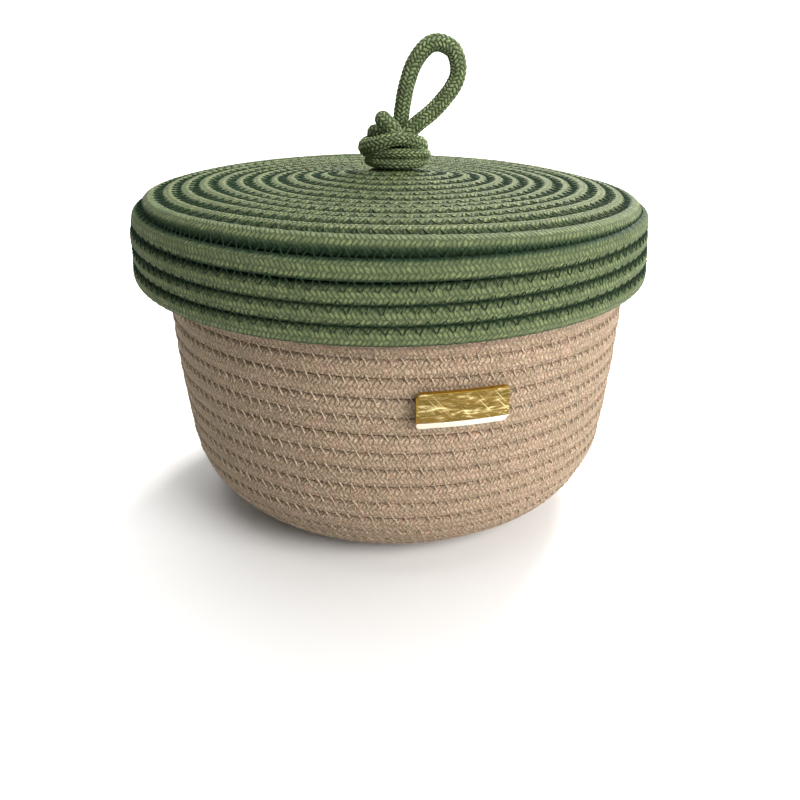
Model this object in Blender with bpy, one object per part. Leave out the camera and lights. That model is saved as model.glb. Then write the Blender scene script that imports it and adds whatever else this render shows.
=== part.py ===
"""A coiled-cord knitting basket with a lift-off lid, a knotted cord handle and a metal tag.

One cord is wound from the middle of the base outwards, round the turn and up the wall. A second
one is wound from the middle of the lid outwards, over the edge and down the skirt. Each winding
follows a meridian, a curve in the plane of radius and height, and steps one row along it in
every loop, so its rows lie beside each other all the way. Each coil is one unbroken tube.
The third cord is the handle: it is curled once under the lid, comes up through the hole in the
middle, makes the loop and is wrapped round its own two legs as the knot.
"""

import math

import bmesh
import bpy
import numpy as np

# Cord and rows, in metres
CORD_DIAMETER = 0.0062
BASKET_ROW_PITCH = 0.0063
LID_ROW_PITCH = 0.0061
ROW_GAP = 0.0006
CUT_GAP = 0.0003

# Basket
BASE_START_RADIUS = 0.0050
FLAT_RADIUS = 0.0490
TURN_RADIUS = 0.0315
WALL_BOW_LENGTH = 0.052
BASE_LOOPS = 8.5
WALL_LOOPS = 18.5
WALL_LEAN = math.radians(5.7)
RIM_LEAN = math.radians(3.5)
STANDING_CUT = CORD_DIAMETER / 10

# Lid
LEAST_HOLE_RADIUS = 0.0045
CROWN_RUN = 0.020
CORNER_RADIUS = 0.0066
SKIRT_LOOPS = 5
CROWN_FALL = math.radians(7)
SHOULDER_FALL = math.radians(2)
EDGE_FALL = math.radians(4.5)
SKIRT_CLEARANCE = 0.0008
SEAT_GAP = 0.0004

# Handle
HANDLE_DIAMETER = 0.0061
HANDLE_POINT_SPACING = 0.0037

# The handle's middle line, in diameters of its cord, from the axis and from the top of the lid.
# The curl and the wraps are given as the turn in degrees, the distance from the axis and the height.
CURL_SHARES = (
    (-55, 1.72, -1.80),
    (-85, 1.72, -1.80),
    (-115, 1.72, -1.80),
    (-145, 1.72, -1.80),
    (-175, 1.72, -1.80),
    (-205, 1.72, -1.80),
    (-235, 1.72, -1.80),
    (-262, 1.71, -1.80),
    (-286, 1.63, -1.80),
    (-307, 1.46, -1.80),
    (-325, 1.18, -1.80),
    (-340, 0.80, -1.79),
)
LOOP_SHARES = (
    (0.34, 0.05, -1.66),
    (0.07, -0.02, -1.28),
    (0.02, -0.07, -0.50),
    (0.15, -0.20, 0.30),
    (0.36, -0.38, 1.10),
    (0.42, -0.42, 1.95),
    (0.86, -0.38, 2.78),
    (1.88, -0.26, 3.36),
    (2.83, -0.12, 4.05),
    (3.45, 0.00, 4.98),
    (3.58, 0.04, 5.90),
    (3.10, 0.06, 6.62),
    (2.40, 0.08, 6.88),
    (1.75, 0.12, 6.62),
    (1.22, 0.18, 6.00),
    (0.84, 0.25, 5.20),
    (0.50, 0.34, 4.20),
    (0.05, 0.42, 3.10),
    (-0.34, 0.45, 2.15),
    (-0.42, 0.42, 1.22),
    (-0.70, 0.56, 0.72),
    (-1.15, 0.60, 0.53),
)
WRAP_SHARES = (
    (176, 1.66, 0.47),
    (200, 1.72, 0.46),
    (235, 1.70, 0.48),
    (270, 1.68, 0.51),
    (305, 1.66, 0.52),
    (340, 1.66, 0.52),
    (375, 1.66, 0.55),
    (410, 1.68, 0.75),
    (445, 1.72, 1.10),
    (480, 1.76, 1.50),
    (515, 1.76, 1.72),
    (550, 1.74, 1.80),
    (590, 1.73, 1.87),
    (630, 1.74, 1.95),
    (665, 1.77, 1.90),
    (700, 1.78, 1.86),
    (735, 1.76, 1.90),
    (770, 1.74, 2.08),
    (805, 1.72, 2.33),
    (833, 1.68, 2.60),
)
TAIL_SHARES = (
    (-1.32, 1.02, 2.80),
    (-1.38, 0.42, 2.98),
    (-1.18, -0.14, 3.10),
    (-0.84, -0.62, 3.06),
    (-0.52, -0.90, 2.98),
)

# Tag
TAG_WIDTH = 0.027
TAG_HEIGHT = 0.0106
TAG_THICKNESS = 0.0018
TAG_BEVEL = 0.0008
TAG_CORNER_RADIUS = 0.0016
TAG_BEND_RADIUS = 0.120
TAG_SEAT_GAP = 0.0003
TAG_LEVEL = 0.0672
TAG_ANGLE = math.radians(283)

# Steps of the round forms
POINTS_PER_LOOP = 16
INNER_RADIUS = 0.036
BACK = math.radians(90)

# Corners of a cord's six-sided section: shares of its half thickness and of its half width
SECTION_SHARES = ((1, 0), (0.5, 1), (-0.5, 1), (-1, 0), (-0.5, -1), (0.5, -1))
LEAST_FLAT_SHARE = 0.06
TAIL_END_SHARES = ((0.45, 0.9), (0.12, 0.55))

# Below this, a turn in radians counts as straight
LEAST_TURN = 1e-6


class Meridian:
    """A curve in the plane of radius and height, made of runs that each turn at a steady rate.

    It also knows the pitch of its rows and the length at which its two coils meet, at the back.
    """

    def __init__(self, radius, height, slope, side, pitch, joined, runs):
        self.side = side
        self.pitch = pitch
        self.joined = joined
        self.starts = [(0.0, radius, height, slope)]
        self.rates = []
        for length, turn in runs:
            self.rates.append(turn / length)
            place, _, _, _ = self.starts[-1]
            self.starts.append((place + length, *self.point(place + length)))

    def run_at(self, place):
        found = 0
        for index, start in enumerate(self.starts[: len(self.rates)]):
            if place >= start[0]:
                found = index
        return found

    def point(self, place):
        """Radius, height and slope at a length along the curve."""
        index = self.run_at(place)
        start, radius, height, slope = self.starts[index]
        rate = self.rates[index]
        now = slope + rate * (place - start)
        if abs(rate * (place - start)) < LEAST_TURN:
            step = place - start
            return radius + step * math.cos(slope), height + step * math.sin(slope), slope
        across = (math.sin(now) - math.sin(slope)) / rate
        up = (math.cos(slope) - math.cos(now)) / rate
        return radius + across, height + up, now

    def sharpest(self, place, reach):
        """The largest rate of turn within reach of a length along the curve."""
        rates = [self.rates[self.run_at(place + step)] for step in (-reach, -reach / 2, 0, reach / 2, reach)]
        return max(abs(rate) for rate in rates)

    def outward(self, slope):
        """The curve's outward normal, as its parts along the radius and along the height."""
        return -self.side * math.sin(slope), self.side * math.cos(slope)


def half_width(rate, pitch):
    """Half the cord's width along the meridian, which leaves the row gap also where rows turn."""
    if rate * pitch < LEAST_TURN:
        return (pitch - ROW_GAP) / 2
    inner = 1 / rate - CORD_DIAMETER / 2 * SECTION_SHARES[1][0]
    return inner * math.tan(pitch * rate / 2) - ROW_GAP / 2


def ring_at(meridian, place):
    """A coil's six-sided ring at a length along the meridian, in the upright plane through the axis."""
    spread = 2 / (1 + math.cos(math.pi / POINTS_PER_LOOP))
    radius, height, slope = meridian.point(place)
    across, up = meridian.outward(slope)
    angle = facet_middle_near(BACK) + meridian.side * turns_to_radians(meridian, place)
    width = half_width(meridian.sharpest(place, meridian.pitch), meridian.pitch)
    ring = []
    for thick_share, wide_share in SECTION_SHARES:
        thick = thick_share * CORD_DIAMETER / 2
        wide = wide_share * width
        r = radius * spread + thick * across + wide * math.cos(slope)
        z = height + thick * up + wide * math.sin(slope)
        ring.append((r * math.cos(angle), r * math.sin(angle), z))
    return ring


def turns_to_radians(meridian, place):
    """The angle wound between a length along the meridian and the one at which its coils meet."""
    return (place - meridian.joined) / meridian.pitch * 2 * math.pi


def coil_rings(meridian, first, loops):
    """A coil's rings. It meets the next coil, and ends, half way along a facet."""
    rise = meridian.pitch / POINTS_PER_LOOP
    rings = []
    for index in range(-1, round(loops * POINTS_PER_LOOP) + 1):
        place = first + (index + 0.5) * rise
        radius, _, _ = meridian.point(place)
        if radius >= INNER_RADIUS or index % 2 == 0:
            rings.append(ring_at(meridian, place))
    rings = np.array(rings)
    if first > 0:
        rings[0] = facet_middle(rings[0], rings[1], CUT_GAP / 2)
    rings[-1] = facet_middle(rings[-1], rings[-2], CUT_GAP / 2)
    return rings


def facet_middle(outer, inner, cut):
    """The ring half way along a facet, moved on by the cut."""
    length = np.linalg.norm(inner.mean(axis=0) - outer.mean(axis=0))
    return outer + (0.5 + cut / length) * (inner - outer)


def facet_middle_near(angle):
    """The nearest angle at which a facet of the coils has its middle, as at the tag."""
    step = 2 * math.pi / POINTS_PER_LOOP
    return TAG_ANGLE + step * round((angle - TAG_ANGLE) / step)


def cut_flat(rings):
    """The rings with their lowest corner cut off level at height zero, as two corners in its place."""
    tip = rings[:, 0]
    corners = []
    for neighbour in (rings[:, 5], rings[:, 1]):
        share = tip[:, 2] / (tip[:, 2] - neighbour[:, 2])
        share = np.maximum(share, LEAST_FLAT_SHARE)[:, None]
        corners.append(tip + share * (neighbour - tip))
    return np.concatenate([corners[1][:, None], rings[:, 1:], corners[0][:, None]], axis=1)


def cotton(name, colour):
    """Matt cotton."""
    return material(name, colour, 0.95, 0.0)


def material(name, colour, roughness, metallic):
    made = bpy.data.materials.new(name)
    made.use_nodes = True
    shader = made.node_tree.nodes["Principled BSDF"]
    shader.inputs["Base Color"].default_value = (*colour, 1)
    shader.inputs["Roughness"].default_value = roughness
    shader.inputs["Metallic"].default_value = metallic
    return made


def skin(name, rings, look, parent):
    """One closed body through a row of rings with the same number of corners, closed at both ends."""
    count, sides, _ = rings.shape
    index = np.arange(count * sides).reshape(count, sides)
    here, after = index[:-1], index[1:]
    quads = np.stack(
        [here, np.roll(here, -1, axis=1), np.roll(after, -1, axis=1), after], axis=2
    ).reshape(-1, 4)
    faces = [tuple(quad) for quad in quads.tolist()]
    faces.append(tuple(index[0, ::-1].tolist()))
    faces.append(tuple(index[-1].tolist()))
    mesh = bpy.data.meshes.new(name)
    mesh.from_pydata(rings.reshape(-1, 3).tolist(), [], faces)
    work = bmesh.new()
    work.from_mesh(mesh)
    bmesh.ops.recalc_face_normals(work, faces=work.faces)
    work.to_mesh(mesh)
    work.free()
    mesh.shade_smooth()
    mesh.set_sharp_from_angle(angle=math.radians(50))
    mesh.materials.append(look)
    made = bpy.data.objects.new(name, mesh)
    bpy.context.scene.collection.objects.link(made)
    made.parent = parent
    return made


def print_least_gap(name, rings, diameter=None, least_turn=None):
    """Measures, on points along the rings and half way between them, how near the tube comes to itself."""
    middles = (rings[1:] + rings[:-1]) / 2
    points = np.concatenate([rings[:-1], middles], axis=1).reshape(-1, rings.shape[1], 3)
    centres = points.mean(axis=1)
    steps = np.linalg.norm(np.diff(centres, axis=0), axis=1)
    along = np.concatenate([[0], np.cumsum(steps)])
    apart = least_turn or 2.5 * CORD_DIAMETER
    least = math.inf
    for row in range(len(points)):
        far = along - along[row] > apart
        if not far.any():
            continue
        if diameter:
            distance = np.linalg.norm(centres[far] - centres[row], axis=1).min() - diameter
        else:
            others = points[far].reshape(-1, 1, 3)
            distance = np.linalg.norm(others - points[row][None], axis=2).min()
        least = min(least, distance)
    print(f"{name}: least gap to itself {least * 1000:.2f} mm")


def basket_meridian():
    """The cord's middle line from the middle of the base to the rim."""
    height = CORD_DIAMETER / 2 - STANDING_CUT
    flat = FLAT_RADIUS - BASE_START_RADIUS
    turn = math.radians(90) - WALL_LEAN
    total = (BASE_LOOPS + WALL_LOOPS) * BASKET_ROW_PITCH
    arc = TURN_RADIUS * turn
    rest = total - flat - arc - WALL_BOW_LENGTH
    runs = [(flat, 0), (arc, turn), (WALL_BOW_LENGTH, WALL_LEAN), (rest, RIM_LEAN)]
    joined = BASE_LOOPS * BASKET_ROW_PITCH
    return Meridian(BASE_START_RADIUS, height, 0, -1, BASKET_ROW_PITCH, joined, runs)


def lid_meridian(wall):
    """The cord's middle line from the hole in the lid to the skirt's edge, fitted over the wall.

    The skirt clears the widest part of the wall, so the size of the hole is what is left over
    when the top has as many loops as fit, to the half.
    """
    rows = wall[len(wall) // 2 :].mean(axis=1)
    widest = np.hypot(rows[:, 0], rows[:, 1]).max() * (1 + math.cos(math.pi / POINTS_PER_LOOP)) / 2
    skirt_radius = widest + CORD_DIAMETER + SKIRT_CLEARANCE
    edge_radius = skirt_radius - CORNER_RADIUS * (1 - math.sin(EDGE_FALL))
    half_row = (LID_ROW_PITCH - ROW_GAP) / 2
    loops = math.floor(2 * (edge_radius - LEAST_HOLE_RADIUS - half_row) / LID_ROW_PITCH) / 2
    flat = loops * LID_ROW_PITCH
    turn = math.radians(90) - EDGE_FALL
    arc = CORNER_RADIUS * turn
    rest = SKIRT_LOOPS * LID_ROW_PITCH - arc
    runs = [
        (CROWN_RUN, CROWN_FALL - SHOULDER_FALL),
        (flat - CROWN_RUN, SHOULDER_FALL - EDGE_FALL),
        (arc, -turn),
        (rest, 0),
    ]
    trial = Meridian(0, 0, -CROWN_FALL, 1, LID_ROW_PITCH, flat, runs)
    across, fall, _ = trial.point(flat)
    height = wall[:, :, 2].max() + SEAT_GAP + CORD_DIAMETER / 2 - fall
    return Meridian(edge_radius - across, height, -CROWN_FALL, 1, LID_ROW_PITCH, flat, runs)


def add_coil(name, rings, look, parent):
    skin(name, rings, look, parent)
    print_least_gap(name, rings)


def add_basket(look):
    """The base and the wall, wound clockwise as seen from above: their meridian and the wall's rings."""
    meridian = basket_meridian()
    base = cut_flat(coil_rings(meridian, 0, BASE_LOOPS))
    wall = coil_rings(meridian, meridian.joined, WALL_LOOPS)
    add_coil("basket_base_coil", base, look, None)
    add_coil("basket_wall_coil", wall, look, None)
    return meridian, wall


def add_lid(wall, look, parent):
    """The lid's top and skirt, wound anticlockwise as seen from above: their meridian."""
    meridian = lid_meridian(wall)
    top = coil_rings(meridian, 0, meridian.joined / LID_ROW_PITCH)
    skirt = coil_rings(meridian, meridian.joined, SKIRT_LOOPS)
    add_coil("lid_top_coil", top, look, parent)
    add_coil("lid_skirt_coil", skirt, look, parent)
    return meridian


def around(table):
    """Points from turns in degrees, distances from the axis and heights."""
    points = []
    for degrees, radius, level in table:
        angle = math.radians(degrees)
        points.append((radius * math.cos(angle), radius * math.sin(angle), level))
    return points


def handle_route(crown):
    """Points on the handle's middle line: the curl under the lid, the stem, the loop and the knot."""
    shares = np.array(around(CURL_SHARES) + list(LOOP_SHARES) + around(WRAP_SHARES) + list(TAIL_SHARES))
    return shares * HANDLE_DIAMETER + np.array([0, 0, crown])


def smooth_route(points, spacing):
    """Evenly spaced points on a smooth curve through the given ones."""
    ends = np.concatenate([[2 * points[0] - points[1]], points, [2 * points[-1] - points[-2]]])
    fine = []
    for before, start, end, after in zip(ends, ends[1:], ends[2:], ends[3:]):
        for share in np.arange(12) / 12:
            fine.append(
                0.5
                * (
                    2 * start
                    + (end - before) * share
                    + (2 * before - 5 * start + 4 * end - after) * share**2
                    + (3 * start - before - 3 * end + after) * share**3
                )
            )
    fine = np.array(fine + [points[-1]])
    along = np.concatenate([[0], np.cumsum(np.linalg.norm(np.diff(fine, axis=0), axis=1))])
    count = round(along[-1] / spacing) + 1
    even = np.linspace(0, along[-1], count)
    return np.stack([np.interp(even, along, fine[:, axis]) for axis in range(3)], axis=1)


def tube_rings(route, diameter):
    """Six-sided rings along a route, each turned as little as it can be from the one before."""
    ahead = np.gradient(route, axis=0)
    ahead /= np.linalg.norm(ahead, axis=1)[:, None]
    side = np.cross(ahead[0], (0, 0, 1))
    rings = []
    for centre, forward in zip(route, ahead):
        side = side - forward * np.dot(side, forward)
        side = side / np.linalg.norm(side)
        other = np.cross(forward, side)
        angles = np.arange(6) * math.pi / 3
        rim = np.outer(np.cos(angles), side) + np.outer(np.sin(angles), other)
        rings.append(centre + diameter / 2 * rim)
    return np.array(rings), ahead


def add_handle(meridian, look, parent):
    """The handle's cord, as one tube from the curl under the lid to the rounded tail."""
    _, height, _ = meridian.point(0)
    crown = height + CORD_DIAMETER / 2
    route = smooth_route(handle_route(crown), HANDLE_POINT_SPACING)
    rings, ahead = tube_rings(route, HANDLE_DIAMETER)
    last = rings[-1]
    middle = last.mean(axis=0)
    tips = []
    for ahead_share, wide_share in reversed(TAIL_END_SHARES):
        place = middle + ahead[-1] * HANDLE_DIAMETER / 2 * (1 - ahead_share)
        tips.append(place + (last - middle) * wide_share)
    rings = np.concatenate([rings, tips[::-1]])
    skin("handle_cord", rings, look, parent)
    print_least_gap("handle_cord", rings, HANDLE_DIAMETER, 2.6 * HANDLE_DIAMETER)
    length = np.linalg.norm(np.diff(route, axis=0), axis=1).sum()
    print(f"handle_cord: {length * 1000:.0f} mm long")


def place_at_level(meridian, level):
    """The length along a rising meridian at which it reaches a level."""
    low, high = 0.0, meridian.starts[-1][0]
    while high - low > 1e-7:
        middle = (low + high) / 2
        _, height, _ = meridian.point(middle)
        if height < level:
            low = middle
        else:
            high = middle
    return low


def add_tag(meridian, look):
    """The metal tag: a thin plate with rounded corners and a bevel, bent a little round the wall."""
    radius, height, slope = meridian.point(place_at_level(meridian, TAG_LEVEL))
    across, up = meridian.outward(slope)
    spread = 2 / (1 + math.cos(math.pi / POINTS_PER_LOOP))
    facet = radius * spread * math.cos(math.pi / POINTS_PER_LOOP)
    round_about = np.array([math.cos(TAG_ANGLE), math.sin(TAG_ANGLE), 0])
    tangent = np.array([-math.sin(TAG_ANGLE), math.cos(TAG_ANGLE), 0])
    normal = round_about * across + np.array([0, 0, up])
    upward = np.cross(normal, tangent)
    half = TAG_WIDTH / 2
    sag = half**2 / (2 * TAG_BEND_RADIUS)
    back = CORD_DIAMETER / 2 + TAG_SEAT_GAP + sag
    middle = round_about * facet + np.array([0, 0, height])
    straight = half - TAG_CORNER_RADIUS
    corner = [math.sin(math.radians(degrees)) for degrees in (0, 30, 50, 70, 90)]
    columns = [straight + TAG_CORNER_RADIUS * share for share in corner]
    columns = [-x for x in reversed(columns)] + [straight * share for share in (-0.5, 0, 0.5)] + columns
    rings = []
    for x in columns:
        beyond = max(abs(x) - straight, 0)
        drop = TAG_CORNER_RADIUS - math.sqrt(max(TAG_CORNER_RADIUS**2 - beyond**2, 0))
        rise = TAG_HEIGHT / 2 - drop
        inset = max(abs(x) - (half - TAG_BEVEL), 0)
        front = TAG_THICKNESS - inset
        shoulder = TAG_THICKNESS - TAG_BEVEL
        flat = rise - max(TAG_BEVEL - inset, TAG_BEVEL * LEAST_FLAT_SHARE)
        front = max(front, shoulder + TAG_BEVEL * LEAST_FLAT_SHARE)
        bend = back - x**2 / (2 * TAG_BEND_RADIUS)
        outline = ((0, -rise), (0, rise), (shoulder, rise), (front, flat), (front, -flat), (shoulder, -rise))
        rings.append([middle + tangent * x + normal * (bend + out) + upward * y for out, y in outline])
    return skin("metal_tag", np.array(rings), look, None)


def clear_scene():
    for old in list(bpy.data.objects):
        bpy.data.objects.remove(old, do_unlink=True)


def main():
    clear_scene()
    bpy.context.scene.unit_settings.system = "METRIC"
    beige = cotton("pink_beige_cotton", (0.42, 0.33, 0.27))
    green = cotton("olive_green_cotton", (0.16, 0.20, 0.11))
    brass = material("brass", (0.78, 0.62, 0.30), 0.3, 1.0)
    lift = bpy.data.objects.new("lid_lift", None)
    bpy.context.scene.collection.objects.link(lift)
    wall_meridian, wall = add_basket(beige)
    add_tag(wall_meridian, brass)
    top_meridian = add_lid(wall, green, lift)
    add_handle(top_meridian, green, lift)


main()
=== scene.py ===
"""Dresses the knitting basket: braided cords, sewing threads, the knotted handle and the metal tag.

Every cord is a tube on the same winding as the solids: a spiral on a meridian, a curve in the
plane of radius and height, that moves on by one row in each loop. All sizes are in metres.
"""

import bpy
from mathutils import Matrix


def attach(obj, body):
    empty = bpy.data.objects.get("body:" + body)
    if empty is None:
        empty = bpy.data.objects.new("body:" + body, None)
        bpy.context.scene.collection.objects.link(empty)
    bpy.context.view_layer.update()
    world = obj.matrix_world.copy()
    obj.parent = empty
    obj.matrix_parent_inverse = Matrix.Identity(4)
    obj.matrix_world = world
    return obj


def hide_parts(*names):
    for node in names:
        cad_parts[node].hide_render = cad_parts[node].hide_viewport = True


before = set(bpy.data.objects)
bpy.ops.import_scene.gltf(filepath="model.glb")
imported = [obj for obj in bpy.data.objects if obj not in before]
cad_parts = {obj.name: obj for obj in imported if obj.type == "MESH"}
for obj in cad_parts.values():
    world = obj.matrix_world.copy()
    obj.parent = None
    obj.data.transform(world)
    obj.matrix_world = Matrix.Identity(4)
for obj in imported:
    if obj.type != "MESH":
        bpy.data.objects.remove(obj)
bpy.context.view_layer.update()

import math

import bpy
import numpy as np
from bpy.props import FloatProperty, FloatVectorProperty, IntProperty, PointerProperty
from mathutils import Matrix

bl_info = {
    "name": "Coiled Basket",
    "version": (1, 0, 0),
    "blender": (4, 5, 0),
    "location": "3D View > Sidebar > Coiled Basket",
    "description": "Winds, sews and knots the cords of a lidded basket",
    "category": "Add Mesh",
}

MM = 0.001

# Where the two coils of each cord meet, and the way each cord winds
MEETING_ANGLE = math.radians(80.5)
CLOCKWISE = -1
ANTICLOCKWISE = 1

# The basket's meridian: start radius, start height, start slope, then runs of length and turn
BASKET_START = (5.0 * MM, 2.48 * MM, 0.0)
BASKET_RUNS = (
    (44.0 * MM, 0.0),
    (46.34635 * MM, math.radians(84.3)),
    (52.0 * MM, math.radians(5.7)),
    (27.75365 * MM, math.radians(3.5)),
)
BASKET_PITCH = 6.3 * MM
BASKET_JOINED = 53.55 * MM
BASKET_LENGTH = 170.1 * MM
BASKET_INNER_START = -3.0 * MM

# The lid's meridian
LID_START = (7.75943 * MM, 121.6863 * MM, math.radians(-7))
LID_RUNS = (
    (20.0 * MM, math.radians(5)),
    (56.25 * MM, math.radians(-2.5)),
    (9.84889 * MM, math.radians(-85.5)),
    (20.65111 * MM, 0.0),
)
LID_PITCH = 6.1 * MM
LID_JOINED = 76.25 * MM
LID_LENGTH = 106.75 * MM
LID_INNER_START = -5.0 * MM

# The handle's middle line, in diameters of its cord, from the axis and from the top of the lid.
# The curl and the wraps are given as the turn in degrees, the distance from the axis and the height.
CURL = (
    (-55, 1.72, -1.80),
    (-85, 1.72, -1.80),
    (-115, 1.72, -1.80),
    (-145, 1.72, -1.80),
    (-175, 1.72, -1.80),
    (-205, 1.72, -1.80),
    (-235, 1.72, -1.80),
    (-262, 1.71, -1.80),
    (-286, 1.63, -1.80),
    (-307, 1.46, -1.80),
    (-325, 1.18, -1.80),
    (-340, 0.80, -1.79),
)
LOOP = (
    (0.34, 0.05, -1.66),
    (0.07, -0.02, -1.28),
    (0.02, -0.07, -0.50),
    (0.15, -0.20, 0.30),
    (0.36, -0.36, 1.10),
    (0.62, -0.44, 1.86),
    (1.00, -0.42, 2.36),
    (1.46, -0.36, 2.74),
    (1.98, -0.28, 3.12),
    (2.42, -0.20, 3.51),
    (2.85, -0.12, 3.97),
    (3.26, -0.04, 4.48),
    (3.54, 0.00, 5.01),
    (3.62, 0.03, 5.62),
    (3.39, 0.05, 6.36),
    (2.96, 0.06, 6.72),
    (2.41, 0.08, 6.88),
    (1.90, 0.10, 6.76),
    (1.39, 0.16, 6.29),
    (0.98, 0.20, 5.66),
    (0.71, 0.27, 4.92),
    (0.52, 0.32, 4.20),
    (0.38, 0.38, 3.40),
    (0.24, 0.43, 2.50),
    (-0.04, 0.46, 1.70),
    (-0.42, 0.44, 1.14),
    (-0.70, 0.56, 0.72),
    (-1.15, 0.60, 0.53),
)
WRAPS = (
    (176, 1.42, 0.54),
    (200, 1.46, 0.50),
    (235, 1.56, 0.48),
    (270, 1.64, 0.47),
    (305, 1.60, 0.47),
    (340, 1.48, 0.48),
    (375, 1.46, 0.42),
    (410, 1.50, 0.36),
    (445, 1.54, 0.36),
    (480, 1.52, 0.46),
    (515, 1.44, 0.68),
    (550, 1.38, 0.86),
    (590, 1.43, 0.91),
    (630, 1.57, 1.02),
    (665, 1.68, 1.00),
    (700, 1.66, 0.88),
    (735, 1.62, 0.90),
    (770, 1.64, 1.08),
    (805, 1.66, 1.30),
    (840, 1.64, 1.44),
    (870, 1.70, 1.40),
    (900, 1.80, 1.28),
    (925, 1.80, 1.34),
    (950, 1.74, 1.52),
    (975, 1.68, 1.77),
    (1000, 1.61, 1.85),
    (1025, 1.55, 1.70),
    (1050, 1.50, 1.50),
    (1080, 1.46, 1.34),
    (1110, 1.38, 1.38),
    (1140, 1.42, 1.62),
    (1170, 1.46, 1.80),
    (1200, 1.50, 1.90),
    (1225, 1.50, 1.94),
)
TAIL = (
    (-1.22, 0.20, 2.08),
    (-0.86, -0.22, 2.06),
    (-0.36, -0.62, 1.96),
    (-0.08, -0.98, 2.02),
    (-0.24, -1.16, 2.38),
    (-0.68, -1.10, 2.80),
    (-1.10, -1.00, 3.20),
)
HANDLE_BASE = 124.763 * MM

# Where the tag sits on the wall
TAG_ANGLE = math.radians(283)
TAG_PLACE = 126.39 * MM


# ---- sizes and colours a user would change


def length(label, what, default):
    return FloatProperty(name=label, description=what, default=default, min=0.0, precision=5, unit="LENGTH")


def colour(label, what, default):
    return FloatVectorProperty(
        name=label, description=what, default=default, subtype="COLOR", size=3, min=0.0, max=1.0
    )


class BasketSizes(bpy.types.PropertyGroup):
    thick: length("Cord thickness", "How far the basket cord stands through the wall", 6.2 * MM)
    step: length("Step", "Length of one step along the basket cord", 1.5 * MM)
    wander: length("Wander", "How far a sewn row strays from its true place", 0.20 * MM)
    stitch: length("Stitch", "Length of one zigzag of the basket's thread", 3.6 * MM)
    thread: length("Thread", "Thickness of the basket's thread", 0.40 * MM)


class LidSizes(bpy.types.PropertyGroup):
    thick: length("Cord thickness", "How far the lid cord stands through the lid", 6.2 * MM)
    step: length("Step", "Length of one step along the lid cord", 0.9 * MM)
    wander: length("Wander", "How far a sewn row strays from its true place", 0.25 * MM)
    stitch: length("Stitch", "Length of one zigzag of the lid's thread", 4.6 * MM)
    thread: length("Thread", "Thickness of the lid's thread", 0.35 * MM)


class HandleSizes(bpy.types.PropertyGroup):
    thick: length("Cord thickness", "Thickness of the handle's cord", 6.1 * MM)
    step: length("Step", "Length of one step along the handle's cord", 0.33 * MM)


class TagSizes(bpy.types.PropertyGroup):
    width: length("Width", "Width of the metal tag", 29.0 * MM)
    height: length("Height", "Height of the metal tag", 11.8 * MM)
    thick: length("Thickness", "Thickness of the metal tag", 2.0 * MM)
    corner: length("Corner", "Radius of the tag's corners", 1.6 * MM)
    bevel: length("Bevel", "Width of the tag's slanted lower edge", 2.3 * MM)


class Looks(bpy.types.PropertyGroup):
    beige: colour("Beige cotton", "Main colour of the basket cord", (0.398, 0.298, 0.210))
    beige_thread: colour("Beige thread", "Colour of the basket's thread", (0.44, 0.352, 0.258))
    green: colour("Green cotton", "Main colour of the lid and handle cord", (0.112, 0.140, 0.066))
    green_thread: colour("Green thread", "Colour of the lid's thread", (0.013, 0.034, 0.017))
    gold: colour("Brass", "Colour of the metal tag", (0.80, 0.60, 0.22))


class StageSizes(bpy.types.PropertyGroup):
    focal: FloatProperty(name="Lens", description="Focal length in millimetres", default=31.38, min=5.0)
    camera_distance: length("Camera distance", "How far in front of the axis the camera stands", 272.2 * MM)
    camera_height: length("Camera height", "How high the camera stands", 155.35 * MM)
    samples: IntProperty(name="Floor rows", description="Rows of faces on the floor's sweep", default=48)


# ---- windings


def along_meridian(start, runs, place):
    """Radius, height and slope at lengths along a meridian.

    The slope grows by a steady rate in each run, so a step of length t from a run's start moves
    t * sinc(rate * t / 2) in the direction that the slope has half way along the step.
    """
    place = np.asarray(place, dtype=float)
    begins, radii, heights, slopes, rates = [0.0], [start[0]], [start[1]], [start[2]], []
    for run, turn in runs:
        rates.append(turn / run)
        half = slopes[-1] + turn / 2
        chord = run * np.sinc(turn / (2 * math.pi))
        radii.append(radii[-1] + chord * math.cos(half))
        heights.append(heights[-1] + chord * math.sin(half))
        slopes.append(slopes[-1] + turn)
        begins.append(begins[-1] + run)
    found = np.clip(np.searchsorted(begins, place, side="right") - 1, 0, len(rates) - 1)
    step = place - np.array(begins)[found]
    rate = np.array(rates)[found]
    half = np.array(slopes)[found] + rate * step / 2
    chord = step * np.sinc(rate * step / (2 * math.pi))
    radius = np.array(radii)[found] + chord * np.cos(half)
    height = np.array(heights)[found] + chord * np.sin(half)
    return radius, height, np.array(slopes)[found] + rate * step


def waves(angle, seed, size):
    """A slow wander: a sum of sines of the wound angle whose rates aren't whole numbers."""
    dice = np.random.default_rng(seed)
    total = np.zeros_like(angle)
    for rate in (1.37, 2.61, 4.83, 7.9):
        total += np.sin(angle * rate + dice.uniform(0, 2 * math.pi)) / math.sqrt(rate)
    return total * size / 1.6


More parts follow.
